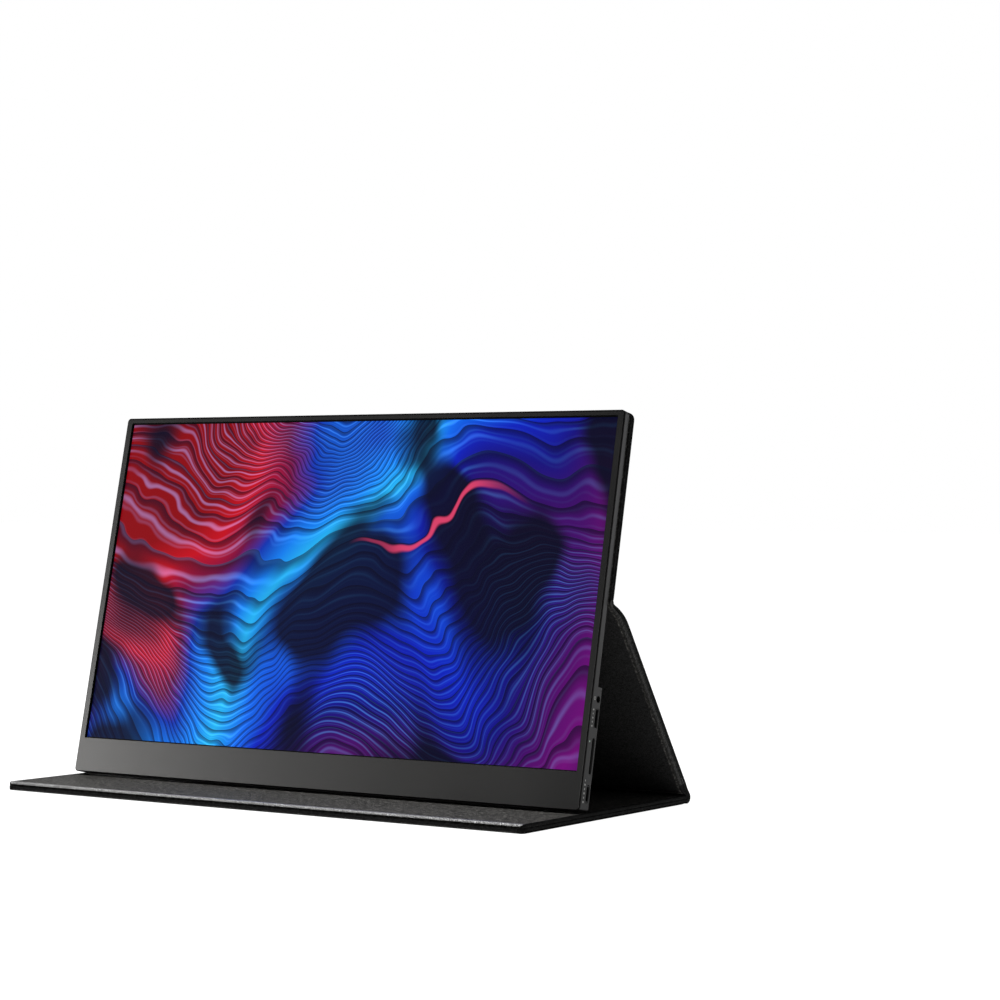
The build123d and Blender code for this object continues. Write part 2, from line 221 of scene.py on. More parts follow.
    def bump(self, height, strength=1.0, dist=0.0001, normal=None):
        n = self.node("ShaderNodeBump")
        n.inputs["Strength"].default_value = strength
        n.inputs["Distance"].default_value = dist
        self.link(height, n.inputs["Height"])
        if normal is not None:
            self.link(normal, n.inputs["Normal"])
        return n.outputs[0]


def hexc(h):
    """sRGB hex to linear."""
    out = []
    for i in (0, 2, 4):
        c = int(h[i:i + 2], 16) / 255
        out.append(c / 12.92 if c <= 0.04045 else ((c + 0.055) / 1.055) ** 2.4)
    return tuple(out)


# ------------------------------------------------------------- materials
def leather_mat(name, tone=0.020, rough=0.50, spec=0.30, cell=760.0, depth=0.00016, ior=1.5, warm=1.0, nap=0.0,
                contrast=1.0, wear=None, painted_shade=None):
    """Fine-grained black leatherette: pebbled cells just over a millimetre wide, pores, slight sheen change."""
    m = Mat(name)
    c = m.uv()
    warp = m.noise(c, 240.0, 2.0, out="Color")
    cw = m.vmath("ADD", c, m.vscale(m.vmath("SUBTRACT", warp, (0.5, 0.5, 0.5)), 0.0014))
    cells = m.voronoi(cw, cell, "DISTANCE_TO_EDGE")
    cell_h = m.range(cells, 0.0, 0.28, 0.0, 1.0, True)
    cells2 = m.voronoi(cw, cell * 0.47, "SMOOTH_F1", smooth=0.5)
    fine = m.noise(c, 4200.0, 2.0, 0.6)
    lump = m.noise(c, 560.0, 2.0, 0.6)
    h = m.math("ADD", m.math("MULTIPLY", cell_h, 0.5), m.math("MULTIPLY", cells2, 0.5))
    h = m.math("ADD", h, m.math("MULTIPLY", fine, 0.15))
    h = m.math("ADD", h, m.math("MULTIPLY", lump, 0.7))
    soft = m.noise(c, 34.0, 3.0, 0.5)
    n1 = m.bump(h, 0.9, depth)
    n2 = m.bump(soft, 0.5, 0.0005, n1)
    big = m.noise(c, 14.0, 3.0, 0.6)
    blot = m.noise(c, 230.0, 2.0, 0.6)
    g, b = 1 - 0.025 * warm, 1 - 0.09 * warm
    tint = m.ramp(big, [(0.3, (tone * 0.86, tone * 0.86 * g, tone * 0.86 * b)),
                        (0.7, (tone * 1.17, tone * 1.17 * g, tone * 1.17 * b))])
    tint = m.mix(m.range(lump, 0.36, 0.64, 0.0, 1.0, True), m.mix(0.70 * contrast, tint, (0.0, 0.0, 0.0)),
                 m.mix(0.55 * contrast, tint, (tone * 2.6, tone * 2.6 * g, tone * 2.6 * b)))
    tint = m.mix(m.range(blot, 0.36, 0.64, 0.55 * contrast, 0.0, True), tint, (0.0, 0.0, 0.0))
    dark = m.mix(m.range(cells, 0.0, 0.15, 0.7, 0.0, True), tint, (tone * 0.25,) * 3)
    r = m.math("ADD", m.range(lump, 0.3, 0.7, rough - 0.10, rough + 0.10), m.range(big, 0.3, 0.7, -0.05, 0.05))
    r = m.math("ADD", r, m.range(blot, 0.3, 0.7, -0.07, 0.07))
    if nap:
        # brushed nap: short fibres lying across the panel
        lie = m.noise(m.mapping(c, (1.0, 0.14, 1.0)), 1500.0, 2.0, 0.65)
        spec = m.range(lie, 0.30, 0.70, spec * (1 - nap), spec * (1 + nap))
        r = m.math("ADD", r, m.range(lie, 0.30, 0.70, 0.10 * nap, -0.10 * nap))
    # polish along the panel's width, from its left end to its right end, and painted shade that darkens the colour
    # towards the left end
    across = m.range(m.sep(c)[0], -0.17825, 0.17825, 0.0, 1.0)
    if wear:
        spec = m.math("MULTIPLY", m.ramp(across, [(at, (w, w, w)) for at, w in wear]), spec)
    # painted shade: the base colour is multiplied darker towards the panel's left end
    if painted_shade:
        dark = m.mix(1.0, dark, m.ramp(across, [(at, (w, w, w)) for at, w in painted_shade]), "MULTIPLY")
    m.set(color=dark, rough=r, spec=spec, normal=n2, ior=ior)
    return m.m


def plastic_mat(name, tone, rough=0.45, grain=2600.0, depth=0.00003, spec=0.5):
    """Moulded plastic with a fine spark texture."""
    m = Mat(name)
    c = m.coords()
    fine = m.noise(c, grain, 2.0, 0.6)
    wide = m.noise(c, 24.0, 3.0, 0.6)
    col = m.mix(m.range(wide, 0.3, 0.7, 0.0, 1.0), tuple(t * 0.92 for t in tone), tuple(t * 1.08 for t in tone))
    r = m.math("ADD", m.range(fine, 0.25, 0.75, rough - 0.06, rough + 0.06), m.range(wide, 0.3, 0.7, -0.03, 0.03))
    m.set(color=col, rough=r, spec=spec, normal=m.bump(fine, 0.6, depth))
    return m.m


def plane_coords(m, p):
    """The front face's own coordinates: across, up, in metres."""
    s = m.sep(p)
    v = m.math("SUBTRACT", m.vmath("DOT_PRODUCT", p, (0.0, ST, CT)), (FOOT_Y * ST + FOOT_Z * CT) * MM)
    return s[0], v


def rounded_dist(m, x, v, half_w, v0, v1, r):
    """Signed distance to a rounded rectangle, metres, minus inside."""
    qx = m.math("SUBTRACT", m.math("ABSOLUTE", x), half_w - r)
    qv = m.math("SUBTRACT", m.math("ABSOLUTE", m.math("SUBTRACT", v, (v0 + v1) / 2)), (v1 - v0) / 2 - r)
    px, pv = m.math("MAXIMUM", qx, 0.0), m.math("MAXIMUM", qv, 0.0)
    out = m.math("SQRT", m.math("ADD", m.math("MULTIPLY", px, px), m.math("MULTIPLY", pv, pv)))
    ins = m.math("MINIMUM", m.math("MAXIMUM", qx, qv), 0.0)
    return m.math("SUBTRACT", m.math("ADD", out, ins), r)


def bezel_mat():
    """Satin grey film let into a black frame: a thin black rim stays round it, the edges are black."""
    m = Mat("bezel_satin")
    c = m.coords()
    nrm = m.coords("Normal")
    facing = m.vmath("DOT_PRODUCT", nrm, (0.0, -CT, ST))
    x, v = plane_coords(m, c)
    sd = rounded_dist(m, x, v, HW * MM, 0.0, MON_H * MM, 2.2 * MM)
    film = m.range(sd, -0.00055, -0.00045, 1.0, 0.0, True)
    film = m.math("MULTIPLY", film, m.range(v, (MON_H - 1.15) * MM, (MON_H - 0.85) * MM, 1.0, 0.0, True))
    front = m.math("MULTIPLY", m.range(facing, 0.93, 0.985, 0.0, 1.0, True), film)
    fine = m.noise(c, 3000.0, 2.0, 0.6)
    wide = m.noise(c, 9.0, 2.0, 0.5)
    grey = m.mix(m.range(wide, 0.3, 0.7, 0.0, 1.0), (0.0050, 0.0050, 0.0050), (0.0066, 0.0065, 0.0064))
    col = m.mix(front, (0.004, 0.004, 0.004), grey)
    r = m.math("ADD", m.range(fine, 0.25, 0.75, 0.29, 0.41), m.range(wide, 0.3, 0.7, -0.02, 0.02))
    groove = m.range(sd, -0.0006, -0.0004, 0.0, 1.0, True)
    n1 = m.bump(fine, 0.5, 0.00002)
    sheen = m.math("MULTIPLY", m.range(x, 0.130, 0.177, 0.45, 0.33, True), m.range(v, 0.200, 0.2165, 1.0, 0.76, True))
    spec = m.math("MAXIMUM", m.math("MULTIPLY", front, sheen), 0.02)
    m.set(color=col, rough=r, spec=spec, normal=m.bump(groove, 0.4, 0.00008, n1))
    return m.m


def metal_mat(name, tone, rough=0.42, metal=0.85, grain=3000.0, painted_shade_rise=None):
    """Bead-blasted, anodised metal: fine pitted grain and edges worn a little brighter."""
    m = Mat(name)
    c = m.coords()
    fine = m.noise(c, grain, 3.0, 0.65)
    pits = m.voronoi(c, grain * 0.8)
    wide = m.noise(c, 30.0, 4.0, 0.6)
    geo = m.node("ShaderNodeNewGeometry")
    edge = m.range(geo.outputs["Pointiness"], 0.53, 0.60, 0.0, 0.6, True)
    base = m.mix(m.range(wide, 0.3, 0.7, 0.0, 1.0), tuple(t * 0.9 for t in tone), tuple(t * 1.1 for t in tone))
    col = m.mix(m.math("MULTIPLY", edge, m.range(fine, 0.3, 0.6, 0.4, 1.0)), base, tuple(min(1.0, t * 1.9) for t in tone))
    # painted shade: the colour darkens towards the bottom of the face, and the specular level rises with height
    if painted_shade_rise:
        v = plane_coords(m, c)[1]
        k = m.ramp(m.range(v, 0.0, 0.2, 0.0, 1.0, True), [(at, (w, w, w)) for at, w in painted_shade_rise])
        col = m.mix(1.0, col, k, "MULTIPLY")
        m.set(spec=m.range(v, 0.0, 0.2, 0.10, 0.60))
    h = m.math("ADD", m.math("MULTIPLY", fine, 0.6), m.math("MULTIPLY", pits, 0.5))
    r = m.math("ADD", m.range(fine, 0.25, 0.75, rough - 0.07, rough + 0.07), m.range(wide, 0.3, 0.7, -0.04, 0.04))
    m.set(color=col, metal=metal, rough=r, normal=m.bump(h, 0.6, 0.00002))
    return m.m


def steel_mat(name, tone=(0.55, 0.55, 0.56)):
    """Plated sheet steel with drawn streaks."""
    m = Mat(name)
    c = m.coords()
    streak = m.noise(m.mapping(c, (60.0, 900.0, 900.0)), 4.0, 3.0, 0.6)
    spots = m.noise(c, 260.0, 3.0, 0.6)
    col = m.mix(m.range(spots, 0.35, 0.7, 0.0, 1.0), tuple(t * 0.8 for t in tone), tone)
    r = m.math("ADD", m.range(streak, 0.3, 0.7, 0.22, 0.38), m.range(spots, 0.3, 0.7, -0.04, 0.06))
    m.set(color=col, metal=1.0, rough=r, normal=m.bump(streak, 0.3, 0.00002))
    return m.m


def rubber_mat():
    m = Mat("soft_rubber")
    c = m.coords()
    n = m.noise(c, 1500.0, 3.0, 0.6)
    dust = m.noise(c, 90.0, 4.0, 0.65)
    col = m.mix(m.range(dust, 0.45, 0.75, 0.0, 0.6), (0.012, 0.012, 0.012), (0.035, 0.034, 0.033))
    m.set(color=col, rough=m.range(n, 0.2, 0.8, 0.7, 0.88), spec=0.3, normal=m.bump(n, 0.6, 0.00005))
    return m.m


def board_mat():
    """Solder-masked circuit board with tracks and pads."""
    m = Mat("board_green")
    c = m.coords()
    tr = m.node("ShaderNodeTexBrick")
    m.link(m.mapping(c, (1, 1, 1), rot=(TILT + math.pi / 2, 0, 0)), tr.inputs["Vector"])
    tr.inputs["Scale"].default_value = 420.0
    tr.inputs["Mortar Size"].default_value = 0.06
    tr.inputs["Color1"].default_value = (0.012, 0.10, 0.05, 1)
    tr.inputs["Color2"].default_value = (0.010, 0.075, 0.04, 1)
    tr.inputs["Mortar"].default_value = (0.03, 0.16, 0.08, 1)
    v = m.voronoi(c, 650.0)
    pad = m.range(v, 0.10, 0.16, 1.0, 0.0, True)
    col = m.mix(pad, tr.outputs["Color"], (0.60, 0.48, 0.22))
    n = m.noise(c, 1800.0, 2.0)
    m.set(color=col, rough=m.range(n, 0.2, 0.8, 0.28, 0.42), normal=m.bump(tr.outputs["Fac"], 0.3, 0.00003))
    return m.m


def film_mat(name, tone, rough=0.3):
    m = Mat(name)
    c = m.coords()
    n = m.noise(c, 700.0, 3.0, 0.6)
    w = m.noise(c, 20.0, 2.0, 0.5)
    col = m.mix(m.range(w, 0.3, 0.7, 0.0, 1.0), tuple(t * 0.94 for t in tone), tone)
    m.set(color=col, rough=m.range(n, 0.2, 0.8, rough - 0.05, rough + 0.08), normal=m.bump(n, 0.3, 0.00002))
    return m.m


def fibre_mat():
    m = Mat("pressed_fibre")
    c = m.coords()
    n = m.noise(m.mapping(c, (1.0, 3.0, 3.0)), 500.0, 5.0, 0.7)
    col = m.ramp(n, [(0.3, (0.10, 0.095, 0.085)), (0.7, (0.19, 0.18, 0.165))])
    m.set(color=col, rough=m.range(n, 0.2, 0.8, 0.8, 0.95), spec=0.2, normal=m.bump(n, 0.8, 0.0001))
    return m.m


def foam_mat():
    m = Mat("black_foam")
    c = m.coords()
    v = m.voronoi(c, 2400.0)
    m.set(color=m.ramp(v, [(0.0, 0.006), (0.7, 0.022)]), rough=m.range(v, 0.0, 0.8, 0.95, 0.8), spec=0.15,
          normal=m.bump(v, 0.8, 0.0001))
    return m.m


def light_mat():
    """Small status light behind a frosted pipe."""
    m = Mat("status_light")
    c = m.coords()
    n = m.noise(c, 2600.0, 2.0)
    col = m.mix(m.range(n, 0.3, 0.7, 0.0, 1.0), (0.50, 0.95, 0.66), (0.72, 1.0, 0.82))
    m.set(color=(0.24, 0.33, 0.27), rough=m.range(n, 0.2, 0.8, 0.25, 0.4), emit=col, emit_s=0.055)
    return m.m


def screen_mat():
    """The lit picture: generic waves of fine strands, with a black border round it."""
    m = Mat("screen_picture")
    p = m.coords()
    x, v = plane_coords(m, p)
    # A runs across the picture from -1.78 to 1.78, B up it from -1 to 1.
    A = m.math("MULTIPLY", x, 2.0 / (AA_H * MM))
    B = m.math("MULTIPLY", m.math("SUBTRACT", v, (CHIN + AA_H / 2) * MM), 2.0 / (AA_H * MM))
    q = m.comb(A, B, 0.37)
    w1 = m.noise(m.vmath("ADD", q, (3.1, 7.7, 0.0)), 0.55, 1.0, 0.4, out="Color")
    w1 = m.vscale(m.vmath("SUBTRACT", w1, (0.5, 0.5, 0.5)), 1.5)
    q1 = m.vmath("ADD", q, w1)
    w2 = m.noise(m.vmath("ADD", q1, (11.3, 2.9, 0.0)), 1.5, 2.0, 0.5, out="Color")
    w2 = m.vscale(m.vmath("SUBTRACT", w2, (0.5, 0.5, 0.5)), 0.42)
    q2 = m.vmath("ADD", q1, w2)
    s1, s2 = m.sep(q1), m.sep(q2)
    wave1 = m.math("MULTIPLY", m.math("SINE", m.math("MULTIPLY_ADD", s2[0], 1.45, 2.1)), 0.42)
    wave2 = m.math("MULTIPLY", m.math("SINE", m.math("ADD", m.math("MULTIPLY_ADD", s2[0], 3.3, 0.4),
                                                     m.math("MULTIPLY", s2[1], 1.9))), 0.13)
    W = m.math("ADD", m.math("ADD", s2[1], wave1), wave2)
    pinch = m.math("MULTIPLY", m.math("SINE", m.math("MULTIPLY_ADD", W, 4.2, 1.0)), 0.16)
    strand = m.math("MULTIPLY", m.math("ADD", W, pinch), 15.5)
    f1 = m.math("FRACT", strand)
    edge = m.math("ABSOLUTE", m.math("SUBTRACT", f1, 0.5))
    light_line = m.range(edge, 0.0, 0.13, 1.0, 0.0, True)
    dark_side = m.range(f1, 0.5, 1.0, 0.0, 1.0, True)
    f2 = m.math("FRACT", m.math("MULTIPLY", strand, 2.7))
    hair = m.range(m.math("ABSOLUTE", m.math("SUBTRACT", f2, 0.5)), 0.0, 0.2, 1.0, 0.0, True)
    reg = m.noise(m.vmath("ADD", q1, (8.2, 4.4, 0.0)), 0.8, 1.5, 0.5)
    t = m.math("ADD", m.math("MULTIPLY_ADD", s1[0], 0.235, 0.47), m.math("MULTIPLY_ADD", reg, 0.5, -0.25))
    t = m.math("ADD", t, m.math("MULTIPLY", s1[1], -0.20))
    t = m.math("ADD", t, m.math("MULTIPLY", m.math("SINE", m.math("MULTIPLY", W, 5.0)), 0.05))
    stops = [(0.00, (0.26, 0.0, 0.004)), (0.10, (0.55, 0.002, 0.012)), (0.17, (0.17, 0.001, 0.05)),
             (0.24, (0.003, 0.03, 0.42)), (0.33, (0.004, 0.20, 0.85)), (0.42, (0.015, 0.44, 0.88)),
             (0.50, (0.004, 0.14, 0.85)), (0.58, (0.002, 0.014, 0.50)), (0.66, (0.006, 0.003, 0.20)),
             (0.74, (0.035, 0.001, 0.13)), (0.82, (0.09, 0.001, 0.14)), (0.91, (0.16, 0.002, 0.18)),
             (1.00, (0.06, 0.001, 0.10))]
    col = m.ramp(t, stops)
    patch = m.noise(m.vmath("ADD", q2, (2.2, 6.1, 0.0)), 1.15, 1.0, 0.4)
    dark = m.range(patch, 0.50, 0.60, 0.0, 0.96, True)
    col = m.mix(dark, col, (0.0005, 0.0005, 0.012))
    shade = m.mix(m.math("MULTIPLY", dark_side, 0.75), col, (0.0, 0.0, 0.015))
    keep = m.range(dark, 0.0, 1.0, 1.0, 0.07)
    calm = m.range(m.noise(m.vmath("ADD", q1, (1.0, 9.0, 0.0)), 1.1, 1.0), 0.38, 0.56, 0.2, 1.0, True)
    gain = m.math("MULTIPLY", m.math("MULTIPLY", keep, calm), 0.55)
    gain = m.math("MULTIPLY", gain, m.range(t, 0.66, 0.86, 1.0, 0.40, True))
    tintl = m.mix(0.55, col, (0.10, 0.42, 0.95))
    lit = m.mix(m.math("MULTIPLY", light_line, gain), shade, tintl, "ADD")
    lit = m.mix(m.math("MULTIPLY", m.math("MULTIPLY", hair, gain), 0.28), lit, tintl, "ADD")
    # one thin coral strand along a wave
    acc = m.range(m.math("ABSOLUTE", m.math("SUBTRACT", W, 0.33)), 0.006, 0.020, 1.0, 0.0, True)
    span = m.math("MULTIPLY", m.range(s2[0], 0.15, 0.5, 0.0, 1.0, True), m.range(s2[0], 0.9, 1.3, 1.0, 0.0, True))
    lit = m.mix(m.math("MULTIPLY", m.math("MULTIPLY", acc, span), 0.85), lit, (0.80, 0.06, 0.16))
    ax = m.math("ABSOLUTE", x)
    inx = m.math("LESS_THAN", ax, (AA_W / 2 + 0.35) * MM)
    iny = m.math("MULTIPLY", m.math("GREATER_THAN", v, (CHIN - 0.35) * MM), m.math("LESS_THAN", v, (CHIN + AA_H + 0.35) * MM))
    emit = m.mix(m.math("MULTIPLY", inx, iny), (0.0, 0.0, 0.0), lit)
    fine = m.noise(p, 4200.0, 2.0)
    m.set(color=(0.002, 0.002, 0.002), rough=m.range(fine, 0.2, 0.8, 0.46, 0.54), spec=0.03, emit=emit, emit_s=1.0,
          normal=m.bump(fine, 0.2, 0.00001))
    return m.m


LEATHER = leather_mat("black_leatherette", 0.024, 0.42, 0.5, 640.0, 0.00055, 1.18)
# cover_lining: painted shade darkens its colour towards the left end
LINING = leather_mat("cover_lining", 0.079, 0.48, 0.3, 720.0, 0.00055, 1.11, nap=0.55,
                     wear=[(0.0, 0.45), (0.12, 1.0)], painted_shade=[(0.0, 0.66), (0.06, 0.76), (0.12, 1.0)])
# strut_lining: a darker tone than the cover lining, partly painted shade for the inside of the stand
STRUT_LINING = leather_mat("strut_lining", 0.025, 0.52, 0.4, 900.0, 0.00024, 1.14, warm=0.0, contrast=0.28)
# dark rim colour on the skin's outer edges: edge paint and painted shade for the dark outline
EDGE_DARK = leather_mat("edge_paint_and_shade", 0.006, 0.70, 0.0, 640.0, 0.00020, 1.02)
EDGE_SHINE = leather_mat("rubbed_edge", 0.030, 0.44, 1.0, 640.0, 0.00020, 1.85, contrast=0.4,
                         wear=[(0.0, 0.88), (0.16, 0.86), (0.5, 0.58), (0.72, 0.50), (0.90, 0.40), (1.0, 0.36)])
# darker copy of the skin's leather for the panel sides, the fold corner and the base's front face: painted shade
EDGE_MID = leather_mat("folded_edge_shade", 0.012, 0.62, 0.25, 640.0, 0.00030, 1.10, warm=0.0, contrast=0.7)
BEZEL = bezel_mat()
# grey_housing: painted shade darkens its lower part
HOUSING = metal_mat("grey_housing", (0.049, 0.049, 0.050), 0.40, 0.75,
                    painted_shade_rise=[(0.0, 0.255), (0.33, 0.385), (0.5, 0.54), (0.65, 0.72), (1.0, 1.0)])
STEEL = steel_mat("plated_steel")
MAGNET = steel_mat("nickel_magnet", (0.62, 0.60, 0.56))
RUBBER = rubber_mat()
BOARD = board_mat()
CHIP = plastic_mat("moulded_epoxy", (0.02, 0.02, 0.022), 0.55, 1800.0)
SOCKET = plastic_mat("socket_black", (0.004, 0.004, 0.004), 0.5, 2200.0, spec=0.05)
KEY = plastic_mat("key_black", (0.0018, 0.0018, 0.0018), 0.45, 3000.0, spec=0.012)
SHELL = metal_mat("dark_shell", (0.02, 0.02, 0.021), 0.45, 0.8)
SCREW = metal_mat("black_screw", (0.03, 0.03, 0.03), 0.35, 0.9)
CLEAR = film_mat("clear_acrylic", (0.72, 0.78, 0.80), 0.15)
WHITE = film_mat("white_film", (0.80, 0.80, 0.78), 0.5)
RIBBON = film_mat("amber_ribbon", (0.45, 0.20, 0.03), 0.3)
FIBRE = fibre_mat()
FOAM = foam_mat()
LED = light_mat()
SCREEN = screen_mat()

CAD_MATERIALS = {
    "front_bezel": BEZEL, "foam_gasket": FOAM, "lcd_cell": SCREEN, "prism_sheet": CLEAR, "diffuser_sheet": WHITE,
    "light_guide": CLEAR, "reflector_sheet": WHITE, "led_strip": BOARD, "panel_back_plate": STEEL,
    "timing_board": BOARD, "panel_ribbon": RIBBON, "rear_tray": HOUSING, "port_housing": HOUSING,
    "housing_screws": SCREW, "foot_strip": RUBBER, "magnet_plates": STEEL, "main_board": BOARD,
    "board_screws": STEEL, "board_shield": STEEL, "scaler_chip": CHIP, "board_chips": CHIP, "audio_jack": SOCKET,
    "video_socket": SHELL, "usb_c_socket": SHELL, "socket_tongues": SOCKET, "key_pin": STEEL,
    "key_switches": SOCKET, "status_light": LED, "speaker_left": SOCKET, "speaker_right": SOCKET,
    "upper_board": FIBRE, "upper_magnets": MAGNET, "strut_board": FIBRE, "strut_magnets": MAGNET,
    "base_board": FIBRE, "base_magnets": MAGNET, "rocker_key": KEY, "rear_fold_bead": LEATHER, "crease_bead": LEATHER,
}
for node, material in CAD_MATERIALS.items():
    o = NODES[node]
    o.data.materials.clear()
    o.data.materials.append(material)


# ------------------------------------------------------------- mesh helpers
def new_object(name, verts, faces, mats, face_mat=None, uvs=None, smooth=38.0):
    me = bpy.data.meshes.new(name)
    me.from_pydata([(x * MM, y * MM, z * MM) for x, y, z in verts], [], faces)
    me.validate()
    for mm in mats:
        me.materials.append(mm)
    if face_mat is not None:
        for p, k in zip(me.polygons, face_mat):
            p.material_index = k
    if uvs is not None:
        layer = me.uv_layers.new(name="UVMap")
        for p in me.polygons:
            for li in p.loop_indices:
                u, w = uvs[me.loops[li].vertex_index]
                layer.data[li].uv = (u * MM, w * MM)
    me.shade_smooth()
    if smooth:
        me.set_sharp_from_angle(angle=math.radians(smooth))
    o = bpy.data.objects.new(name, me)
    SC.collection.objects.link(o)
    return o


def lerp(a, b, t):
    return tuple(x + (y - x) * t for x, y in zip(a, b))


def dist2(a, b):
    return math.hypot(a[0] - b[0], a[1] - b[1])


def smooth_path(points, step, corner=0):
    """Catmull-Rom through (y, z) points, sampled about every step mm."""
    out = []
    n = len(points)
    for i in range(n - 1):
        p0 = points[max(i - 1, 0)]
        p1, p2 = points[i], points[i + 1]
        p3 = points[min(i + 2, n - 1)]
        k = max(1, int(math.ceil(dist2(p1, p2) / step)))
        for j in range(k):
            t = j / k
            out.append(tuple(
                0.5 * ((2 * b) + (-a + c) * t + (2 * a - 5 * b + 4 * c - d) * t * t + (-a + 3 * b - 3 * c + d) * t ** 3)
                for a, b, c, d in zip(p0, p1, p2, p3)))
    out.append(points[-1])
    return out


# Cross-section round one station, as (which face, inset from the side edge, share of the thickness, material).
# t runs from 0 at the lining face to 1 at the outer face.
EDGE = [
    (0.00, 0.20), (0.16, 0.215), (0.42, 0.205), (0.62, 0.185), (0.70, 0.13), (0.86, 0.07), (1.10, 0.025), (1.5, 0.0)]


def cover_piece(name, stations, end_a, end_b, dark_until=0, cols=26, rim_w=1.3, rim_until=0, mid_from=9999,
                strip_until=0):
    """A folio panel: stations are (outer point, inner point) pairs along the profile.
    end_a and end_b say how each end finishes: ("round", corner radius) or ("cut",)."""
    n = len(stations)
    so, si = [0.0], [0.0]
    for k in range(1, n):
        so.append(so[-1] + dist2(stations[k - 1][0], stations[k][0]))
        si.append(si[-1] + dist2(stations[k - 1][1], stations[k][1]))
    verts, uvs, faces, fmat = [], [], [], []
    loops, all_rows = [], []

    NS = 18

    def loop_at(k, half, squeeze, u_off):
        """One closed loop of vertices round station k."""
        po, pi = stations[k][:2]
        drop = stations[k][2] if len(stations[k]) > 2 else 0.0
        th = max(dist2(po, pi), 0.4)
        ids = []
        r_out = min(1.15, th * 0.3)
        side = []
        # from the outer face round the side: skin, the seam under the lining's turned edge, the lining
        for a in range(7):
            ang = math.pi / 2 * a / 6
            side.append((r_out * (1 - math.sin(ang)), r_out * (1 - math.cos(ang))))
        hs = 0.56 * th
        side += [(0.0, min(2.75, hs - 0.57)), (0.0, hs - 0.45), (0.06, hs - 0.20), (0.22, hs - 0.05), (0.46, hs + 0.02), (0.50, hs + 0.10),
                 (0.34, hs + 0.16), (0.20, hs + 0.32), (0.14, hs + 0.60), (0.14, th - 0.75), (0.24, th - 0.42),
                 (0.48, th - 0.14), (1.0, th)]
        side = [(e, 1 - h / th) for e, h in side]
        row = []
        xs = [-1.0, -1 + 0.7 / CW, -1 + 1.2 / CW]
        xs += [-1 + 1.2 / CW + (2 - 2.4 / CW) * c / (cols - 4) for c in range(1, cols - 4)]
        xs += [1 - 1.2 / CW, 1 - 0.7 / CW, 1.0]
        hi, lo = 1 - squeeze[0], squeeze[1]

        def tt(t):
            return lo + (hi - lo) * t
        for c in range(cols + 1):
            row.append((xs[c] * (half - r_out), 1.0, 0))
        for e, t in side[1:-1]:
            row.append((half - e, t, 1))
        for c in range(cols, -1, -1):
            row.append((xs[c] * (half - 1.0), 0.0, 3 if 2 <= c <= cols - 2 else 2))
        for e, t in reversed(side[1:-1]):
            row.append((-(half - e), t, 1))
        for x, t, kind in row:
            y, z = lerp(pi, po, tt(t))
            if kind == 3:
                z -= drop
            ids.append(len(verts))
            verts.append((x, y, z))
            along = so[k] if kind < 2 else (so[k] + si[k]) / 2
            extra = (1 - t) * th if kind == 1 else 0.0
            uvs.append((x + (extra if x > 0 else -extra) + u_off, along))
        return ids, row

    total = so[-1]
    for k in range(n):
        half = CW
        sq = [0.0, 0.0]
        for which, end in ((0, end_a), (1, end_b)):
            if end[0] != "round":
                continue
            d = so[k] if which == 0 else total - so[k]
            R = end[1]
            if d < R:
                half = min(half, CW - (R - math.sqrt(max(R * R - (R - d) ** 2, 0.0))))
            th = dist2(*stations[k][:2])
            r = 0.9
            if d < r:
                cut = (r - math.sqrt(max(r * r - (r - d) ** 2, 0.0))) / th
                sq[0] = max(sq[0], cut)
            r = 2.5
            if d < r:
                cut = (r - math.sqrt(max(r * r - (r - d) ** 2, 0.0))) / th
                sq[1] = max(sq[1], cut)
        ids, rows = loop_at(k, half, sq, 0.0)
        loops.append(ids)
        all_rows.append(rows)
    m = len(loops[0])
    for k in range(n - 1):
        a, b = loops[k], loops[k + 1]
        painted = k < dark_until
        rows = all_rows[k]
        for j in range(m):
            j2 = (j + 1) % m
            faces.append((a[j], a[j2], b[j2], b[j]))
            t0, t1 = sorted((rows[j][1], rows[j2][1]))
            kinds = (rows[j][2], rows[j2][2])
            th = dist2(*stations[k][:2])
            if min(kinds) >= 2:
                d = total - so[k]
                near_end = end_b[0] == "round" and d < 3.1 and not painted
                # the strut's lining has a narrow paler hem along both sides
                hem = 2 in kinds and k < rim_until
                fmat.append((3 if d > 0.31 else 2) if near_end else
                            4 if k < max(rim_until, strip_until) and not hem else 1)
            elif max(kinds) == 0:
                fmat.append(0)
            # the outer 1.3 mm of each side takes the dark rim colour, edge paint and painted shade
            elif t0 * th > th - 1.3:
                fmat.append(2)
            # the upper panel's sides, the base's sides and fold corner, and the strut's outer side take the darker
            # folded-edge colour, painted shade
            elif painted or k >= mid_from or (k < rim_until and t0 * th > th - rim_w):
                fmat.append(5)
            else:
                fmat.append(1 if t1 < 0.43 and k >= rim_until else 0)
    for ids, flip in ((loops[0], False), (loops[-1], True)):
        # close the end with a strip of quads between the outer and the lining rows
        top = ids[:cols + 1]
        side_r = ids[cols + 1:cols + 1 + NS]
        bot = ids[cols + 1 + NS:cols + 1 + NS + cols + 1]
        side_l = ids[cols + 1 + NS + cols + 1:]
        ring = ids if flip else list(reversed(ids))
        # strip between top row and bottom row
        for c in range(cols):
            f = (top[c], top[c + 1], bot[cols - c - 1], bot[cols - c])
            faces.append(f if not flip else tuple(reversed(f)))
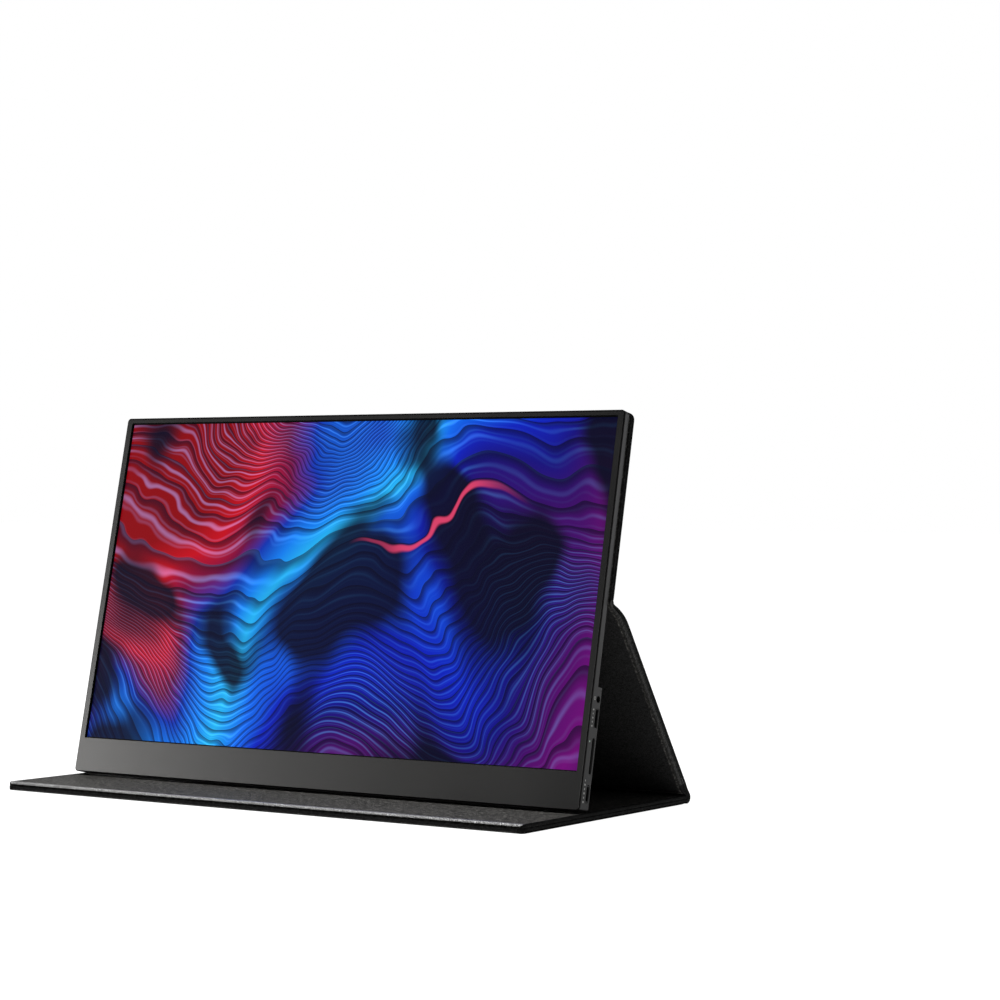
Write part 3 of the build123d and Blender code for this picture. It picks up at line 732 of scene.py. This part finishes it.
            # the base's front face takes the darker folded-edge colour, painted shade
            fmat.append(5 if flip and end_b[0] == "round" else 2)
        fr = [top[cols]] + side_r + [bot[0]]
        fl = [bot[cols]] + side_l + [top[0]]
        for f in (fr, fl):
            faces.append(tuple(f) if not flip else tuple(reversed(f)))
            fmat.append(2)
    o = new_object(name, verts, faces, [LEATHER, LINING, EDGE_DARK, EDGE_SHINE, STRUT_LINING, EDGE_MID], fmat, uvs, 50.0)
    bm = bmesh.new()
    bm.from_mesh(o.data)
    bmesh.ops.recalc_face_normals(bm, faces=bm.faces)
    bm.to_mesh(o.data)
    bm.free()
    return o


def mz(v, d):
    p = mon(0, d, v)
    return (p[1], p[2])


def resample(path, count, power=None):
    """count + 1 points evenly spaced along a polyline."""
    cum = [0.0]
    for a, b in zip(path, path[1:]):
        cum.append(cum[-1] + dist2(a, b))
    out = []
    j = 0
    for i in range(count + 1):
        s = cum[-1] * i / count
        while j < len(path) - 2 and cum[j + 1] < s:
            j += 1
        seg = cum[j + 1] - cum[j]
        out.append(lerp(path[j], path[j + 1], 0 if seg == 0 else min(1, max(0, (s - cum[j]) / seg))))
    return out


# ------------------------------------------------------------- folio: upper piece
AP1 = MON_H + 0.5
IN_D = THIN + 0.03
OUT_D = THIN + 4.4
stations = []
end_steps = [0.0, 0.12, 0.3, 0.55, 0.85, 1.2, 1.7, 2.3, 3.0, 3.7, 4.5, 5.5, 6.5]
for e in end_steps:
    stations.append((mz(AP1 - e, OUT_D), mz(AP1 - e, IN_D)))
v = AP1 - 6.5
while v > 126.0:
    v -= 7.0
    stations.append((mz(v, OUT_D), mz(v, IN_D)))
v_last = v
# crease and soft bend
n_panel = len(stations) + 12
outer_pts = smooth_path([mz(v_last, OUT_D), mz(119.0, OUT_D), mz(116.2, OUT_D - 0.05), mz(114.6, OUT_D - 0.35),
                         mz(113.3, OUT_D - 0.62), sn(1.9, 2.15), sn(3.6, 3.0), sn(7.0, 4.95), sn(12.6, 7.2),
                         sn(17.6, 8.3), sn(22.0, OUT), sn(30.0, OUT)], 0.5)
inner_pts = smooth_path([mz(v_last, IN_D), mz(119.0, IN_D), mz(115.0, IN_D + 0.02), mz(112.6, IN_D + 0.25),
                         sn(1.6, -1.75), sn(4.0, -1.05), sn(8.0, 0.1), sn(13.0, 1.15), sn(19.0, OUT - STRUT_T - 0.02),
                         sn(24.0, OUT - STRUT_T), sn(30.0, OUT - STRUT_T)], 0.5)
NB = 56
oc = resample(outer_pts, NB)
ic = resample(inner_pts, NB)
stations += list(zip(oc, ic))[1:]
s = 30.0
MID = 78.0
while s < MID - 0.1:
    s += 8.0
    stations.append((sn(s, OUT), sn(s, OUT - STRUT_T)))
cover_upper = cover_piece("cover_upper_panel", stations, ("round", 4.5), ("cut",), n_panel, 26, 3.45, 999)
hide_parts("upper_skin", "upper_lining", "soft_bend")
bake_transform(cover_upper)

# ------------------------------------------------------------- folio: lower piece
stations = []
s = MID
while s < 126.0 - 0.1:
    stations.append((sn(s, OUT), sn(s, OUT - STRUT_T)))
    s += 8.0
o_path = [sn(126.0, OUT), sn(131.0, OUT), sn(134.5, OUT - 0.05), sn(137.5, OUT - 0.32), sn(140.0, OUT - 0.30)]
a0 = math.atan2(EN[1], EN[0])
for k in range(0, 13):
    ang = a0 - (a0 + math.pi / 2) * k / 12
    o_path.append((REAR_Y + REAR_R * math.cos(ang), REAR_Z + REAR_R * math.sin(ang)))
o_path += [(REAR_Y - 2.0, 0.14), (REAR_Y - 3.6, 0.22), (REAR_Y - 5.6, 0.03), (REAR_Y - 8.0, 0.0), (REAR_Y - 12.0, 0.0)]
i_path = [sn(126.0, OUT - STRUT_T), sn(131.0, OUT - STRUT_T), sn(134.8, OUT - STRUT_T + 0.05), sn(136.9, OUT - 6.3),
          sn(138.3, OUT - 5.5)]
fold_in = (REAR_Y - 3.0, BASE_T - 0.25)
i_path += [lerp(sn(138.6, OUT - 4.9), fold_in, 0.5), fold_in, (REAR_Y - 3.9, BASE_T - 0.22), (REAR_Y - 5.2, BASE_T - 0.04),
           (REAR_Y - 8.0, BASE_T), (REAR_Y - 12.0, BASE_T)]
o_s = smooth_path(o_path, 0.5)
i_s = smooth_path(i_path, 0.5)
NB = 64
oc, ic = resample(o_s, NB), resample(i_s, NB)
n_strut = len(stations) + NB // 2
n_fold = len(stations) + NB - 3
stations += list(zip(oc, ic))
# shallow channel that the monitor's foot stands in, from g0 to g1
g0, g1 = FOOT_Y + 11.6, FOOT_Y - 1.2
y = REAR_Y - 12.0
while y - 7.0 > g0 + 1.8:
    y -= 7.0
    stations.append(((y, 0.0), (y, BASE_T)))
for yy, dz in ((g0 + 1.0, 0.0), (g0 + 0.35, 0.04), (g0, 0.25), (g0 - 0.35, 0.47), (g0 - 1.0, 0.5), (g0 - 5.0, 0.5),
               (g1 + 1.0, 0.5), (g1 + 0.35, 0.47), (g1, 0.25), (g1 - 0.35, 0.04), (g1 - 1.0, 0.0)):
    stations.append(((yy, 0.0), (yy, BASE_T), dz))
y = g1 - 1.0
while y - 7.0 > BASE_FRONT + 7.0:
    y -= 7.0
    stations.append(((y, 0.0), (y, BASE_T)))
for e in reversed([0.0, 0.12, 0.3, 0.55, 0.85, 1.2, 1.7, 2.3, 3.0, 4.2, 6.0]):
    stations.append(((BASE_FRONT + e, 0.0), (BASE_FRONT + e, BASE_T)))
cover_lower = cover_piece("cover_base_panel", stations, ("cut",), ("round", 3.0), 0, 26, 3.45, n_strut, n_strut - 18,
                          n_fold)
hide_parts("strut_skin", "strut_lining", "base_skin", "base_lining")
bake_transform(cover_lower)

# ------------------------------------------------------------- printed marks beside the sockets
def tab(verts, faces, d0, d1, v0, v1, x0=HW - 0.03, x1=HW + 0.035):
    """Thin raised block of ink on the right side face."""
    base = len(verts)
    for x in (x0, x1):
        for d, v in ((d0, v0), (d1, v0), (d1, v1), (d0, v1)):
            verts.append(mon(x, d, v))
    q = [(0, 3, 2, 1), (4, 5, 6, 7), (0, 1, 5, 4), (1, 2, 6, 5), (2, 3, 7, 6), (3, 0, 4, 7)]
    faces += [tuple(base + i for i in f) for f in q]


mv, mf = [], []
for k, w in enumerate((1.3, 0.8, 1.3, 0.8, 1.3)):
    v = VIDEO_V - 4.4 + k * 2.2
    tab(mv, mf, 3.4 - w / 2, 3.4 + w / 2, v - 0.42, v + 0.42)
for k, w in enumerate((1.3, 0.8, 1.3, 0.8, 1.3, 0.8)):
    v = USB_V - 4.6 + k * 2.3
    tab(mv, mf, 3.4 - w / 2, 3.4 + w / 2, v - 0.5, v + 0.5)
# a plain ring beside the round socket, as one closed band
RN = 28
base = len(mv)
for x in (HW - 0.03, HW + 0.035):
    for k in range(RN):
        an = 2 * math.pi * k / RN
        for r in (0.55, 0.95):
            mv.append(mon(x, 3.4 + r * math.cos(an), JACK_V + 0.2 + r * math.sin(an)))
for k in range(RN):
    i0, i1 = base + 2 * k, base + 2 * ((k + 1) % RN)
    o0, o1 = i0 + 2 * RN, i1 + 2 * RN
    mf += [(i0, i0 + 1, i1 + 1, i1), (o0, o1, o1 + 1, o0 + 1), (i0 + 1, o0 + 1, o1 + 1, i1 + 1), (i0, i1, o1, o0)]
INK = plastic_mat("pale_ink", (0.25, 0.25, 0.24), 0.6, 2400.0, 0.00001)
marks = new_object("socket_marks", mv, mf, [INK], smooth=30.0)
bm = bmesh.new()
bm.from_mesh(marks.data)
bmesh.ops.recalc_face_normals(bm, faces=bm.faces)
bm.to_mesh(marks.data)
bm.free()
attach(marks, "monitor")

# ------------------------------------------------------------- stage, light, camera
me = bpy.data.meshes.new("floor")
F = 40.0
me.from_pydata([(-F, -F, -0.00006), (F, -F, -0.00006), (F, F, -0.00006), (-F, F, -0.00006)], [], [(0, 1, 2, 3)])
floor = bpy.data.objects.new("floor", me)
SC.collection.objects.link(floor)
fm = Mat("pale_floor")
fm.set(color=(0.16, 0.16, 0.16), rough=0.9, spec=0.05, emit=(1.0, 1.0, 1.0), emit_s=1.0)
me.materials.append(fm.m)

world = bpy.data.worlds.new("studio")
SC.world = world
world.use_nodes = True
wt = world.node_tree
wt.nodes.clear()
wo = wt.nodes.new("ShaderNodeOutputWorld")
wb = wt.nodes.new("ShaderNodeBackground")
tc = wt.nodes.new("ShaderNodeTexCoord")
dp = wt.nodes.new("ShaderNodeVectorMath")
dp.operation = "DOT_PRODUCT"
dp.inputs[1].default_value = (-0.538, 0.843, 0.0)
cr = wt.nodes.new("ShaderNodeValToRGB")
wt.links.new(tc.outputs["Generated"], dp.inputs[0])
wt.links.new(dp.outputs["Value"], cr.inputs[0])
wt.links.new(cr.outputs["Color"], wb.inputs["Color"])
wt.links.new(wb.outputs[0], wo.inputs[0])
cr.color_ramp.elements[0].position = 0.93
cr.color_ramp.elements[0].color = (0.12, 0.12, 0.122, 1)
cr.color_ramp.elements[1].position = 0.96
cr.color_ramp.elements[1].color = (1, 1, 1, 1)
wb.inputs["Strength"].default_value = 1.0


def area(name, loc, target, size, power, color=(1, 1, 1)):
    d = bpy.data.lights.new(name, "AREA")
    d.shape = "RECTANGLE"
    d.size, d.size_y = size
    d.energy = power
    d.color = color
    o = bpy.data.objects.new(name, d)
    SC.collection.objects.link(o)
    o.location = loc
    o.rotation_euler = (Vector(target) - Vector(loc)).to_track_quat("-Z", "Y").to_euler()
    return o


area("key_left", (-1.20, -0.78, 0.20), (-0.1, 0, 0.1), (0.55, 0.40), 8.5, (1.0, 0.985, 0.965))
area("overhead", (-0.55, -0.15, 1.7), (-0.1, -0.08, 0), (2.2, 0.5), 62)
area("right_card", (1.15, 1.35, 0.45), (0.1, 0, 0.1), (0.9, 0.8), 0.9)

cam = bpy.data.cameras.new("camera")
cam.sensor_width = 36.0
cam.lens = 36.0 * 2550.69 / 1000
cam.clip_start, cam.clip_end = 0.05, 60.0
co = bpy.data.objects.new("camera", cam)
SC.collection.objects.link(co)
yaw, pitch, roll = -0.56777, 0.00802, 0.00855
fwd = Vector((math.sin(yaw) * math.cos(pitch), math.cos(yaw) * math.cos(pitch), math.sin(pitch)))
right = Vector((math.cos(yaw), -math.sin(yaw), 0.0))
up = right.cross(fwd)
r2 = right * math.cos(roll) + up * math.sin(roll)
u2 = -right * math.sin(roll) + up * math.cos(roll)
co.matrix_world = Matrix(((r2.x, u2.x, -fwd.x, 0.86793), (r2.y, u2.y, -fwd.y, -1.19653),
                          (r2.z, u2.z, -fwd.z, 0.16026), (0, 0, 0, 1)))
SC.camera = co
SC.view_settings.view_transform = "Standard"
SC.view_settings.look = "None"
